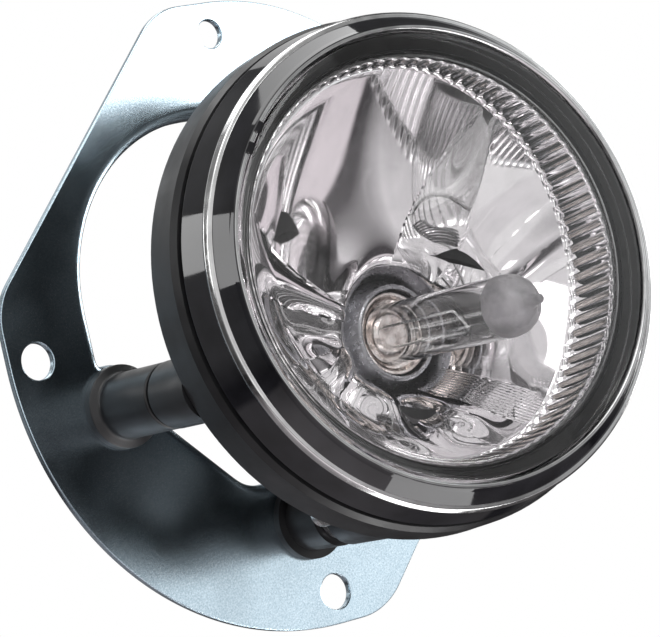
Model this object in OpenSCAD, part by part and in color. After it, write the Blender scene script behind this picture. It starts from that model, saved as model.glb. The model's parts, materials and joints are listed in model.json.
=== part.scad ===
// Round halogen fog lamp on a stamped steel mounting plate.
// The rear face of the plate lies in the plane y = 0, the beam leaves along -Y and +Z is up.
// The lens and its rim are swept back from the beam, as the bumper skin round them would be.

/* [Mounting plate] */
// Sheet thickness of the plate
plate_t = 1.6; // [1.2:0.1:2]
// Half the plate's height, and the reach of its side corner
plate_r = 66.8; // [66:0.1:68]
// Reach of the plate on the side of the second pivot
plate_side = 57; // [56.5:0.1:58]
// Distance of the slanted edges from the centre
plate_flat = 56; // [54.5:0.1:57]
// Radius of the circle that the three screw holes lie on
bolt_circle_r = 60; // [59.5:0.1:60.5]
// Diameter of the locating hole at the top
locating_d = 6; // [5.6:0.1:6.4]
// Diameter of the two clearance holes
clearance_d = 7.5; // [7:0.1:8]
// Depth of the flange turned back round the opening
flange_depth = 3.2; // [2:0.1:3.6]

/* [Lens and rim] */
// Diameter of the lens
lens_d = 90; // [89.8:0.1:90.2]
// Outer diameter of the rim behind the bezel
rim_d = 105.4; // [105:0.1:105.8]
// Sweep of the lens to the side, in degrees
lens_yaw = -7.4; // [-7.6:0.1:-7.2]
// Lean of the lens upwards, in degrees
lens_pitch = 5.4; // [5.2:0.1:5.6]
// Distance of the lens edge in front of the plate
lens_h = 62; // [61.8:0.1:62.2]

/* [Supports] */
// Diameter of the pivot posts and of the adjuster sleeve
post_d = 13.6; // [13:0.1:13.8]
// Height of the aiming axis above the plate
pivot_h = 25.2; // [25:0.1:25.4]
// Diameter of the pivot balls
ball_d = 8.4; // [8:0.1:8.6]
// Gap between each ball and its socket
ball_gap = 0.05; // [0.02:0.01:0.09]
// Diameter of the adjuster screw
screw_d = 6; // [5.8:0.1:6]
// Diameter of the adjuster knob
knob_d = 15.6; // [14:0.2:16]

/* [Bulb] */
// Diameter of the bulb's glass tube
bulb_d = 12.8; // [12.4:0.1:13]
// Height of the bulb's glass tip above the plate
bulb_tip_h = 61.5; // [60:0.1:61.8]
// Reach of the connector below the bulb's axis
connector_reach = 24; // [22:0.5:24.5]

/* [Hidden] */
$fn = 96;

// Places in the plane of the plate, as [x, z]
post_left = [-43, -12.5];
post_right = [46, -12.5];
post_low = [-3.2, -43.7];
bulb_at = [18.8, -10];
bowl_at = [1, 0];
vent_at = [-10, 15];
lens_at = [-1.7, 2.6];

lens_r = lens_d / 2;
rim_r = rim_d / 2;
post_r = post_d / 2;
ball_r = ball_d / 2;
screw_r = screw_d / 2;
bulb_r = bulb_d / 2;
pad_r = 9;
foot_r = 8.6;
foot_t = 1.8;
stud_r = 2.5;
post_screw_r = 2.4;
post_screw_head_r = 4.6;
arc_steps = 24;

// Stations along the supports, as heights above the plate
post_top_h = 19;
lug_h = 20.2;
low_lug_h = 15;
sleeve_top_h = 11;
stud_foot_h = 9;
socket_depth = 10;
nut_half = 4;

// Clips of the sleeve and of the aiming screw
spigot_r = 5.1;
spigot_end_h = -4;
clip_t = 0.7;
sleeve_groove_r = 4.3;
sleeve_clip_h = -3.2;
screw_groove_r = 2.4;
screw_clip_h = 11.35;

// Stations behind the front edge of the lens
bead_s = 5.4;
bezel_back_s = 13.6;
rim_front_s = 14.5;
rim_knee_s = 24.6;
rim_back_s = 27.5;
skirt_s = 8.5;
skirt_in = 42.3;
seat_s = 10.4;
seat_in = 42.4;
flute_front_s = 6.7;
wall_r = 43.9;
flute_r = 41;
reflector_rim_h = 46;
reflector_wall = 1.3;

// Bulb stations, as heights above the plate
cup_h = 9;
glass_foot_h = 12;
shield_r = 11.5;
shield_bore = 9.2;
shield_front_h = 15.3;
coat_h = 50.3;
filament_from_h = 31;
filament_to_h = 36.4;
filament_at = [0.3, -2.8];
return_wire_at = [-2.6, 1.6];
wire_r = 0.3;

// Bulb neck and base
neck_end_h = 3;
neck_floor = 3;
neck_front_h = 40;
neck_back_r = 16.2;
neck_front_r = 22.2;
neck_wall = 2;
base_r = 10.5;
flange_r = 14.6;
flange_back_h = -1.4;
flange_front_h = 2.4;
bulb_lug_angles = [30, 150, 270];
bulb_lug_w = 4;
unlock_turn = 45;
seal_h = 4;
seal_r = 1.02;

// Connector behind the bulb
connector_w = 18.6;
connector_front_h = -7.2;
connector_back_h = -18.4;
shroud_wall = 1.3;
socket_depth_z = 11;
blade_w = 2.8;

// Bezel and reflector screws
bezel_screw_r = 49.5;
bezel_screw_angles = [28, 118, 238, 308];
bezel_screw_core = 1.4;
reflector_screw_at = [[-11, -7], [-1, 11], [10, 9]];
reflector_screw_r = 1.5;
reflector_floor_h = 17.2;
reflector_hole_h = 10.5;
groove_in = 46.4;
groove_out = 50.3;
groove_s = 18;
spigot_in = 38;
spigot_out = 47.4;
rib_count = 12;
bowl_wall = 2.2;

// Vent pipe and its cap
vent_r = 3;
vent_h = 10;

// Aiming screw
knob_back_h = -17;
knob_front_h = -7;
screw_end_h = 33.5;
nut_r = 5.6;
lug_r = post_r + 0.1;
socket_r = 5.9;

// Frame of the supports, the bulb and the beam: z runs forward from the plate's front face
module on_plate(at = [0, 0], h = 0) {
  translate([at[0], -plate_t - h, at[1]]) rotate([90, 0, 0]) children();
}

// Frame of the lens and its rim: z runs forward, and z = 0 is the edge of the lens
module on_lens() {
  translate([lens_at[0], -plate_t - lens_h, lens_at[1]])
    rotate([0, 0, lens_yaw])
      rotate([90 - lens_pitch, 0, 0])
        children();
}

// Corner of a rounded outline. Each corner is [x, z, radius], and the outline runs anticlockwise
function unit(v) = v / norm(v);
function fillet(before, corner, after) =
  let (
    p = [corner[0], corner[1]],
    u = unit([before[0], before[1]] - p),
    w = unit([after[0], after[1]] - p),
    half = acos(u * w) / 2,
    centre = p + unit(u + w) * corner[2] / sin(half),
    from = atan2(-unit(u + w)[1], -unit(u + w)[0]),
    sweep = 90 - half
  )
  [for (i = [0 : arc_steps])
    centre + corner[2] * [cos(from - sweep + 2 * sweep * i / arc_steps),
                          sin(from - sweep + 2 * sweep * i / arc_steps)]];
function rounded(corners) =
  let (n = len(corners))
  [for (i = [0 : n - 1], p = fillet(corners[(i + n - 1) % n], corners[i], corners[(i + 1) % n])) p];

slant = plate_flat * sqrt(2) - plate_r;
plate_corners = [
  [-plate_r, -plate_r, plate_r - 0.1],
  [slant, -plate_r, 16],
  [plate_side, plate_side - plate_flat * sqrt(2), 16],
  [plate_side, plate_r, plate_side - 1],
  [-slant, plate_r, 14],
  [-plate_r, slant, 14]
];
opening_corners = [
  [-45.4, -4.4, 5],
  [-15.3, -34.5, 8],
  [38, -34.5, 20],
  [38, 43, 30],
  [-45.4, 43, 35.8]
];

module opening_outline() {
  difference() {
    polygon(rounded(opening_corners));
    for (at = [post_left, post_low, post_right]) {
      translate(at) circle(pad_r);
    }
  }
}

// A ring of revolution from [radius, distance behind the lens edge] points
module lens_ring(profile) {
  on_lens() rotate_extrude() polygon([for (p = profile) [p[0], -p[1]]]);
}

// A disc or post from one height to another
module post(r, from, to) {
  translate([0, 0, from]) cylinder(r = r, h = to - from);
}

// A hole through the sheet
module plate_hole(at, r) {
  on_plate(at) post(r, -plate_t - 1, 1);
}

// Stamped sheet with its screw holes, seats for the posts and a flange round the opening
module mounting_plate() {
  color("lightsteelblue")
    difference() {
      union() {
        on_plate(h = -plate_t) {
          linear_extrude(plate_t) {
            difference() {
              polygon(rounded(plate_corners));
              opening_outline();
            }
          }
        }
        translate([0, flange_depth, 0]) rotate([90, 0, 0]) {
          linear_extrude(flange_depth + 0.1) {
            difference() {
              offset(r = plate_t) opening_outline();
              opening_outline();
            }
          }
        }
      }
      for (at = [post_left, post_right]) {
        plate_hole(at, post_screw_r + 0.3);
      }
      plate_hole(post_low, spigot_r);
      plate_hole([0, bolt_circle_r], locating_d / 2);
      plate_hole([-bolt_circle_r, 0], clearance_d / 2);
      plate_hole([0, -bolt_circle_r], clearance_d / 2);
    }
}

// Moulded post with a foot, bored at the back for its screw and at the top for the ball stud
module pivot_post(at) {
  color("#202022")
    on_plate(at) {
      difference() {
        union() {
          post(foot_r, 0, foot_t);
          post(post_r, 0, post_top_h);
        }
        post(post_screw_r, -1, stud_foot_h);
        post(stud_r, stud_foot_h, post_top_h + 1);
      }
    }
}
module pivot_post_left() { pivot_post(post_left); }
module pivot_post_right() { pivot_post(post_right); }

// Steel ball on a shank that is pressed into the post
module ball_stud(at) {
  color("silver")
    on_plate(at, pivot_h) {
      sphere(ball_r);
      post(stud_r, stud_foot_h + 1 - pivot_h, -ball_r + 1.6);
    }
}
module ball_stud_left() { ball_stud(post_left); }
module ball_stud_right() { ball_stud(post_right); }

// Pan-head screws that hold the two posts from behind the plate
module post_screws() {
  head_t = 2.8;
  recess = [6, 1, 1.4];
  color("silver")
    for (at = [post_left, post_right]) {
      on_plate(at) {
        difference() {
          post(post_screw_head_r, -plate_t - head_t, -plate_t);
          for (turn = [0, 90]) {
            rotate(turn) translate([-recess[0] / 2, -recess[1] / 2, -plate_t - head_t - 0.2])
              cube(recess + [0, 0, 0.2]);
          }
        }
        post(post_screw_r, -plate_t - 0.1, stud_foot_h - 1);
      }
    }
}

// Guide of the aiming screw, with a spigot through the plate for its clip
module adjuster_sleeve() {
  color("#202022")
    on_plate(post_low) {
      difference() {
        union() {
          post(foot_r, 0, foot_t);
          post(post_r, 0, sleeve_top_h);
          post(spigot_r, spigot_end_h, 0.1);
        }
        post(screw_r + 0.05, spigot_end_h - 1, sleeve_top_h + 1);
        difference() {
          post(spigot_r + 1, sleeve_clip_h - 0.05, sleeve_clip_h + clip_t + 0.05);
          post(sleeve_groove_r, spigot_end_h, 0);
        }
      }
    }
}

// Open ring with a gap on one side, as thick as a clip's wire
module open_clip(inside, outside, h) {
  difference() {
    post(outside, h, h + clip_t);
    post(inside, h - 1, h + clip_t + 1);
    translate([-inside / 2, 0, h - 1]) cube([inside, outside + 1, clip_t + 2]);
  }
}

// Spring clip that sits in the groove of the sleeve's spigot
module sleeve_clip() {
  color("dimgray") on_plate(post_low) open_clip(sleeve_groove_r + 0.1, foot_r - 0.9, sleeve_clip_h);
}

// Aiming screw: plain spindle, groove for its clip and a collar behind the sleeve
module adjuster_screw() {
  chamfer = 0.9;
  collar_r = 4.8;
  color("silver")
    on_plate(post_low) {
      difference() {
        union() {
          post(screw_r, knob_back_h + 1, screw_end_h - chamfer);
          translate([0, 0, screw_end_h - 1]) cylinder(r1 = screw_r, r2 = screw_r - chamfer, h = 1);
          post(collar_r, spigot_end_h - 2.2, spigot_end_h - 0.2);
        }
        difference() {
          post(collar_r, screw_clip_h - 0.05, screw_clip_h + clip_t + 0.05);
          post(screw_groove_r, sleeve_top_h, screw_clip_h + 2);
        }
      }
    }
}

// Clip that keeps the screw from sliding out of the sleeve
module screw_clip() {
  color("dimgray") on_plate(post_low) open_clip(screw_groove_r + 0.1, spigot_r + 0.3, screw_clip_h);
}

// Ribbed knob on the rear end of the aiming screw, with a bar across its rear face
module adjuster_knob() {
  ribs = 16;
  rib_r = 1.2;
  bar_w = 2.2;
  face_depth = 1.4;
  color("#202022")
    on_plate(post_low) {
      difference() {
        union() {
          post(knob_d / 2 - rib_r / 2, knob_back_h, knob_front_h);
          for (i = [0 : ribs - 1]) {
            rotate(360 / ribs * i) translate([knob_d / 2 - rib_r, 0, 0])
              post(rib_r, knob_back_h + 0.8, knob_front_h - 0.8);
          }
        }
        post(screw_r, knob_back_h + 1, knob_front_h + 1);
        difference() {
          post(knob_d / 2 - 2.4, knob_back_h - 1, knob_back_h + face_depth);
          translate([-6, -bar_w / 2, knob_back_h - 1]) cube([12, bar_w, 3]);
        }
      }
    }
}

// Outline of the bowl behind the rim, as [radius, height above the plate], less a wall
function bowl(wall) = [
  [0, 13.5 + wall],
  [16 - wall / 2, 13.5 + wall],
  [24 - wall, 16 + wall / 2],
  [30 - wall, 21],
  [36 - wall, 28],
  [40 - wall, 34],
  [44.5 - wall, 39],
  [48 - wall, 42]
];

// Tapered neck behind the bulb, less a wall
module neck(wall, from_h) {
  translate([0, 0, from_h])
    cylinder(r1 = neck_back_r - wall, r2 = neck_front_r - wall, h = neck_front_h - from_h);
}

// Rim of the housing: a spigot for the bezel, the outer band and a groove open at the back
module housing_rim() {
  rib_w = 1.8;
  boss_r = 3.2;
  on_lens() {
    difference() {
      rotate_extrude()
        polygon([
          [spigot_in, -rim_back_s],
          [rim_r - 1.5, -rim_back_s],
          [rim_r, -rim_knee_s],
          [rim_r, -rim_front_s - 1.7],
          [rim_r - 0.8, -rim_front_s],
          [spigot_out, -rim_front_s],
          [spigot_out, -seat_s],
          [spigot_in, -seat_s]
        ]);
      difference() {
        post(groove_out, -rim_back_s - 1, -groove_s);
        post(groove_in, -rim_back_s - 2, 0);
        for (i = [0 : rib_count - 1]) {
          rotate(360 / rib_count * i + 13) translate([0, -rib_w / 2, -rim_back_s - 2])
            cube([rim_r, rib_w, rim_back_s]);
        }
        for (angle = bezel_screw_angles) {
          rotate(angle) translate([bezel_screw_r, 0, 0]) post(boss_r, -rim_back_s - 2, 0);
        }
      }
    }
  }
}

// Everything outside: rim, bowl, bulb neck, lugs for the pivots and the nut, and the vent pipe
module housing_outside() {
  housing_rim();
  on_plate(bowl_at)
    rotate_extrude() polygon(concat(bowl(0), [[48, 46], [0, 46]]));
  on_plate(bulb_at) neck(0, neck_end_h);
  for (at = [post_left, post_right]) {
    on_plate(at) post(lug_r, lug_h, at[0] < 0 ? 32 : 42);
  }
  on_plate(post_low) post(lug_r, low_lug_h, 40);
  on_plate(vent_at) post(vent_r, vent_h, 20);
}

// Space inside: bore behind the lens, bowl, and bulb seat with a slot for each lug of the bulb
module housing_inside() {
  slot_w = bulb_lug_w + 0.6;
  on_lens() {
    post(wall_r, -25, -13);
    post(seat_in, -20, 20);
  }
  on_plate(bowl_at)
    rotate_extrude() polygon(concat(bowl(bowl_wall), [[48 - bowl_wall, 44], [0, 44]]));
  on_plate(bulb_at) {
    neck(neck_wall, neck_end_h + neck_floor);
    post(base_r + 0.6, neck_end_h - 1, 30);
    for (turn = bulb_lug_angles) {
      rotate(turn - unlock_turn) translate([base_r - 1, -slot_w / 2, neck_end_h - 1])
        cube([3.4, slot_w, neck_floor + 2]);
    }
  }
  on_plate(vent_at) post(vent_r / 2, vent_h - 1, 20);
}

module housing() {
  color("#28282a")
    difference() {
      housing_outside();
      housing_inside();
      on_lens() difference() {
        post(rim_r + 30, -rim_front_s + 0.01, 45);
        post(spigot_out, -rim_front_s - 1, -seat_s);
      }
      for (at = [post_left, post_right]) {
        on_plate(at) post(socket_r, lug_h - 1, lug_h + socket_depth);
      }
      on_plate(post_low) post(nut_r, low_lug_h - 1, pivot_h + nut_half);
      on_plate(post_low) post(4.2, low_lug_h - 1, 36);
      on_lens() for (angle = bezel_screw_angles) {
        rotate(angle) translate([bezel_screw_r, 0, 0])
          post(bezel_screw_core + 0.2, -rim_back_s - 2, -rim_front_s + 1);
      }
      for (at = reflector_screw_at) {
        on_plate(at) post(reflector_screw_r + 0.1, 10, 20);
      }
    }
}

// Gloss bezel: flared front band, round bead and a second band down to the rim
module bezel() {
  color("#0c0c0e")
    difference() {
      lens_ring([
        [45.6, 0.7],
        [46.1, 0.2],
        [46.7, 0.3],
        [47.2, 1],
        [49.5, bead_s - 1.2],
        [50.3, bead_s - 0.9],
        [50.8, bead_s - 0.1],
        [50.7, bead_s + 0.7],
        [50.2, bead_s + 1.1],
        [51.7, bezel_back_s - 0.4],
        [51.5, bezel_back_s],
        [spigot_out + 0.1, bezel_back_s],
        [spigot_out + 0.1, 9.5],
        [45.6, 9.5]
      ]);
      on_lens() for (angle = bezel_screw_angles) {
        rotate(angle) translate([bezel_screw_r, 0, 0])
          post(bezel_screw_core, -bezel_back_s - 1, -bezel_back_s + 4);
      }
    }
}

// Small screws that pull the bezel on to the housing from behind
module bezel_screws() {
  head_r = 2.7;
  head_t = 1.8;
  slot_w = 0.8;
  color("silver")
    on_lens()
      for (angle = bezel_screw_angles) {
        rotate(angle) translate([bezel_screw_r, 0, 0]) {
          difference() {
            post(head_r, -rim_back_s - head_t, -rim_back_s);
            translate([-2, -slot_w / 2, -rim_back_s - head_t - 0.2]) cube([4, slot_w, 1.2]);
          }
          post(bezel_screw_core, -rim_back_s - 0.1, -bezel_back_s + 3.5);
        }
      }
}

// Two stops on the lip of the bezel that set the lens the right way round
module bezel_tabs() {
  tab = [1.3, 2.2, 0.8];
  color("#0c0c0e")
    on_lens()
      for (angle = [137, 143]) {
        rotate(angle) translate([lens_r + 0.4, -tab[1] / 2, -tab[2] / 2]) cube(tab);
      }
}

// Pressed glass: shallow dome on a skirt
module lens() {
  rise = 2.2;
  glass_t = 3.6;
  edge = lens_r - 0.7;
  steps = 8;
  dome = [for (i = [1 : steps]) [edge * (1 - i / steps), -rise * (1 - pow(1 - i / steps, 2))]];
  back = [for (i = [0 : steps]) [40 * i / steps, glass_t - rise + 1.8 * pow(i / steps, 2)]];
  color([0.85, 0.92, 0.95, 0.35])
    lens_ring(concat(
      [[skirt_in, skirt_s], [lens_r + 0.3, skirt_s], [lens_r + 0.3, 1.2], [lens_r, 0.4], [edge, 0]],
      dome,
      back,
      [[skirt_in, 4.4]]
    ));
}

// Rubber ring under the skirt of the lens
module lens_seal() {
  color("#1a1a1a")
    lens_ring([
      [skirt_in + 0.2, skirt_s], [lens_r + 0.2, skirt_s], [lens_r + 0.2, seat_s], [skirt_in + 0.2, seat_s]
    ]);
}

// Bright bowl with a flat rim square to the beam. It deepens into a tapered well round the bulb
module reflector() {
  wall = reflector_wall;
  floor_h = reflector_floor_h;
  curve = [[15, floor_h], [20, floor_h + 1.4], [24, 20.6], [27.4, 23.4], [32, 29], [35.8, 34.6],
           [38.8, 40], [flute_r, reflector_rim_h]];
  outer = [for (i = [len(curve) - 1 : -1 : 0]) curve[i] + [i < 2 ? 0 : wall, i < 2 ? -wall : 0]];
  well = [[shield_r + 0.5, reflector_hole_h], [18, neck_front_h]];
  color("gainsboro")
    intersection() {
      difference() {
        union() {
          on_plate(bowl_at)
            rotate_extrude() polygon(concat([[0, floor_h]], curve, outer, [[0, floor_h - wall]]));
          on_plate(bulb_at)
            rotate_extrude()
              polygon([
                [shield_r, reflector_hole_h], well[0], well[1], well[1] + [wall, 0],
                well[0] + [wall, -wall], [shield_r, reflector_hole_h - wall]
              ]);
        }
        on_plate(bulb_at) {
          post(shield_r, 0, reflector_rim_h);
          rotate_extrude()
            polygon([[0, reflector_hole_h], well[0], well[1], [well[1][0], 60], [0, 60]]);
        }
        on_plate(bowl_at) rotate_extrude() polygon(concat([[0, floor_h]], curve, [[flute_r, 60], [0, 60]]));
        for (at = reflector_screw_at) {
          on_plate(at) post(reflector_screw_r, floor_h - wall - 1, floor_h - 0.35);
        }
      }
      on_lens() post(wall_r - 0.2, -60, 10);
    }
}

// Ribbed bright wall between the lens and the reflector's rim
module flute_ring() {
  color("gainsboro")
    intersection() {
      on_lens() difference() {
        post(flute_r + 1.2, -40, -flute_front_s);
        post(flute_r + 0.3, -41, 20);
      }
      on_plate(h = reflector_rim_h + 0.05) translate([-60, -60, 0]) cube([120, 120, 60]);
    }
}

// Screws that hold the reflector through the back of the bowl
module reflector_screws() {
  color("silver")
    for (at = reflector_screw_at) {
      on_plate(at) {
        post(2.8, bowl(0)[0][1] - 1.8, bowl(0)[0][1]);
        post(reflector_screw_r, bowl(0)[0][1] - 0.1, reflector_floor_h - 0.4);
      }
    }
}

// Dark tapered ring round the foot of the bulb
module bulb_shield() {
  back_h = cup_h + 0.6;
  color("#3a3a3c")
    on_plate(bulb_at)
      rotate_extrude()
        polygon([
          [shield_bore, back_h], [shield_r, back_h], [shield_r, reflector_hole_h + 0.5],
          [shield_bore + 0.8, shield_front_h - 0.2], [shield_bore + 0.5, shield_front_h],
          [shield_bore, shield_front_h]
        ]);
}

// Nylon cup that snaps over a ball and sits in its lug
module ball_socket(at) {
  color("#d8d4c8")
    on_plate(at) {
      difference() {
        post(socket_r, lug_h + 1.2, lug_h + socket_depth);
        translate([0, 0, pivot_h]) sphere(ball_r + ball_gap);
        post(ball_r - 0.5, lug_h, pivot_h - ball_r / 2);
      }
    }
}
module ball_socket_left() { ball_socket(post_left); }
module ball_socket_right() { ball_socket(post_right); }

// Nylon nut that the aiming screw draws back and forth
module adjuster_nut() {
  color("#d8d4c8")
    on_plate(post_low) {
      difference() {
        post(nut_r, pivot_h - nut_half, pivot_h + nut_half);
        post(screw_r + 0.35, 0, 40);
      }
    }
}

// Rubber breather cap on the vent pipe
module vent_cap() {
  cap_r = 5;
  slot_w = 1.6;
  color("#1a1a1a")
    on_plate(vent_at) {
      difference() {
        union() {
          post(cap_r, vent_h - 4.5, vent_h + 3);
          post(cap_r + 0.6, vent_h + 1.8, vent_h + 3);
        }
        post(vent_r, vent_h - 2, vent_h + 4);
        for (turn = [0, 90]) {
          rotate(turn) translate([-slot_w / 2, -cap_r - 1, vent_h - 5]) cube([slot_w, 2 * cap_r + 2, 1.8]);
        }
      }
    }
}

// Outline of the front of the tube, as [radius, distance behind the tip]
tip_outline = [[0.8, 0.2], [1.1, 1.4], [1.5, 2.8], [2.6, 4.2], [4.6, 5.4], [5.8, 7.2], [bulb_r, 9.6]];

// Halogen tube with its drawn tip
module bulb_glass() {
  wall = 0.8;
  color([0.9, 0.9, 0.95, 0.35])
    on_plate(bulb_at)
      rotate_extrude()
        polygon(concat(
          [[0, bulb_tip_h]],
          [for (p = tip_outline) [p[0], bulb_tip_h - p[1]]],
          [[bulb_r, glass_foot_h], [bulb_r - wall, glass_foot_h], [bulb_r - wall, bulb_tip_h - 9.6]],
          [[4.9, bulb_tip_h - 7.4], [2.4, bulb_tip_h - 5.4], [0, bulb_tip_h - 4.8]]
        ));
}

// Opaque paint over the front of the tube
module bulb_tip_coat() {
  skin = 0.08;
  painted = [for (i = [2 : len(tip_outline) - 1]) [tip_outline[i][0], bulb_tip_h - tip_outline[i][1]]];
  color("#8a8a90")
    on_plate(bulb_at)
      rotate_extrude()
        polygon(concat(
          [for (p = painted) p + [skin, 0]],
          [[bulb_r + skin, coat_h], [bulb_r, coat_h]],
          [for (i = [len(painted) - 1 : -1 : 0]) painted[i]]
        ));
}

// Filament, held beside the bulb's axis
module bulb_filament() {
  color("gray") on_plate(bulb_at) translate(filament_at) post(0.75, filament_from_h, filament_to_h);
}

// Lead wires from the cup to both ends of the filament, and a third that stops short
module bulb_leads() {
  turn_h = filament_to_h + 1.6;
  back = filament_at - return_wire_at;
  foot_h = glass_foot_h + 2;
  color("silver")
    on_plate(bulb_at) {
      translate(filament_at) post(wire_r, foot_h, filament_from_h);
      translate(filament_at) post(wire_r, filament_to_h, turn_h + wire_r);
      translate(return_wire_at) post(wire_r, foot_h, turn_h + wire_r);
      translate([return_wire_at[0], return_wire_at[1], turn_h])
        rotate([0, 90, atan2(back[1], back[0])])
          cylinder(r = wire_r, h = norm(back));
      translate([2.6, 1.8]) post(wire_r, foot_h, filament_from_h - 6);
    }
}

// Bright metal cup that carries the tube on the base, with a pinch inside the tube
module bulb_collar() {
  pinch_r = 4.8;
  color("silver")
    on_plate(bulb_at)
      rotate_extrude()
        polygon([
          [0, cup_h], [8.7, cup_h], [8.7, 13.9], [8.2, 13.9], [7.4, glass_foot_h + 0.6],
          [bulb_r + 0.05, glass_foot_h + 0.6], [bulb_r + 0.05, glass_foot_h], [pinch_r, glass_foot_h],
          [pinch_r, glass_foot_h + 2], [0, glass_foot_h + 2]
        ]);
}

// Plastic base: barrel with three lugs, flange and a connector shroud pointing down
module bulb_base() {
  rib_r = 1;
  connector_t = connector_front_h - connector_back_h;
  color("#28282a")
    on_plate(bulb_at) {
      difference() {
        union() {
          post(base_r, 1.6, cup_h);
          post(flange_r, flange_back_h, flange_front_h);
          post(12.5, connector_back_h, flange_back_h);
          translate([-connector_w / 2, -connector_reach, connector_back_h])
            cube([connector_w, connector_reach, connector_t]);
          for (i = [0 : 11]) {
            rotate(30 * i) translate([flange_r - rib_r / 2, 0, 0])
              post(rib_r, flange_back_h, flange_front_h);
          }
          for (turn = bulb_lug_angles) {
            rotate(turn) translate([base_r - 1, -bulb_lug_w / 2, cup_h - 2.2]) cube([3, bulb_lug_w, 2.2]);
          }
        }
        translate([shroud_wall - connector_w / 2, -connector_reach - 1, connector_back_h + shroud_wall])
          cube([connector_w - 2 * shroud_wall, socket_depth_z + 1, connector_t - 2 * shroud_wall]);
        difference() {
          post(base_r + 2, seal_h - 1.1, seal_h + 1.1);
          post(base_r - 1.5, seal_h - 2, seal_h + 2);
        }
      }
    }
}

// Sealing ring in the groove of the base
module bulb_seal_ring() {
  color("#b05a2a")
    on_plate(bulb_at, seal_h)
      rotate_extrude() translate([base_r - 0.45, 0]) circle(r = seal_r, $fn = 48);
}

// Two blade contacts inside the connector
module bulb_contacts() {
  blade = [blade_w, 9.5, 0.8];
  color("goldenrod")
    on_plate(bulb_at)
      for (side = [-3.4, 3.4]) {
        translate([side - blade_w / 2, -connector_reach + 1.5, connector_back_h + 2.6]) cube(blade);
      }
}

mounting_plate();
pivot_post_left();
pivot_post_right();
ball_stud_left();
ball_stud_right();
post_screws();
adjuster_sleeve();
sleeve_clip();
adjuster_screw();
adjuster_knob();
screw_clip();
housing();
bezel();
bezel_screws();
bezel_tabs();
lens();
lens_seal();
reflector();
flute_ring();
reflector_screws();
bulb_shield();
ball_socket_left();
ball_socket_right();
adjuster_nut();
vent_cap();
bulb_glass();
bulb_tip_coat();
bulb_filament();
bulb_leads();
bulb_collar();
bulb_base();
bulb_seal_ring();
bulb_contacts();
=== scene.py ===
"""Looks of a round halogen fog lamp on its mounting plate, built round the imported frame.

Outlines are in millimetres and become metres when a mesh is made. Heights h are measured forward
from the front face of the plate. In the frame of the lens, z is 0 at the lens's front edge and
negative behind it. Angles are in degrees unless they go straight into a sine or a cosine.
"""
import json
import math

import bmesh
import bpy
from mathutils import Matrix, Vector


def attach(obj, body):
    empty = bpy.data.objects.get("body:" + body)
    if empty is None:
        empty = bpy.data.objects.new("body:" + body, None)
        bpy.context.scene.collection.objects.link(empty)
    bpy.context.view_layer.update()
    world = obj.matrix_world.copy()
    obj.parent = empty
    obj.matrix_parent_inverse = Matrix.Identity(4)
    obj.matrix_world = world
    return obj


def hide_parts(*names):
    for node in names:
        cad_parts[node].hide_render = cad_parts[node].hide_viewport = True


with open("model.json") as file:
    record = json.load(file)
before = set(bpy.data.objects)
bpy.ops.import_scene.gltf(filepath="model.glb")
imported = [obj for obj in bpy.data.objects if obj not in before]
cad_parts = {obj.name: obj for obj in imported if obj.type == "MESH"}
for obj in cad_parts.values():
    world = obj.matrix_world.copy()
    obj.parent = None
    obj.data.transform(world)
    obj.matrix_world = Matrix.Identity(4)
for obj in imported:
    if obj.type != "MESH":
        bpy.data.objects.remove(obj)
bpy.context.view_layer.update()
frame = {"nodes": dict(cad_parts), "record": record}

MM = 0.001

# Places on the plate are (x, z). The lens is swept to the side by its yaw and leans up by its pitch
PLATE_T = 1.6
LENS_H = 62.0
LENS_AT = (-1.7, 2.6)
LENS_YAW = -7.4
LENS_PITCH = 5.4
BULB_AT = (18.8, -10.0)
POST_LEFT = (-43.0, -12.5)
POST_RIGHT = (46.0, -12.5)
POST_LOW = (-3.2, -43.7)


# ---------------------------------------------------------------- camera, light and surroundings

VIEW_AZIMUTH = -37.99
VIEW_ELEVATION = -0.96
VIEW_ROLL = 12.78
VIEW_DISTANCE = 740.0
VIEW_TARGET = Vector((2.2, -17.4, -4.1))
FOCAL_LENGTH = 195.2
SENSOR_WIDTH = 36
NEAR, FAR = 0.05, 30


def polar(radius, angle):
    """A point on a circle, with the angle in radians."""
    return radius * math.cos(angle), radius * math.sin(angle)


def in_scene(name, data):
    """A new object in the scene."""
    made = bpy.data.objects.new(name, data)
    bpy.context.collection.objects.link(made)
    return made


def view_axes(azimuth, elevation):
    """Unit vectors towards the viewer, to the right and up, for azimuth 0 in front of the lamp."""
    a, e = math.radians(azimuth), math.radians(elevation)
    back = Vector((math.sin(a) * math.cos(e), -math.cos(a) * math.cos(e), math.sin(e)))
    right = Vector((math.cos(a), math.sin(a), 0))
    return back, right, back.cross(right)


def make_camera():
    """A distant view from the front left, with the head tilted."""
    back, right, up = view_axes(VIEW_AZIMUTH, VIEW_ELEVATION)
    turn = Matrix.Rotation(math.radians(-VIEW_ROLL), 3, back)
    right, up = turn @ right, turn @ up
    data = bpy.data.cameras.new("camera")
    data.lens = FOCAL_LENGTH
    data.sensor_width = SENSOR_WIDTH
    data.clip_start, data.clip_end = NEAR, FAR
    camera = in_scene("camera", data)
    place = Matrix((right, up, back)).transposed().to_4x4()
    place.translation = (VIEW_TARGET + back * VIEW_DISTANCE) * MM
    camera.matrix_world = place
    bpy.context.scene.camera = camera


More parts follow.
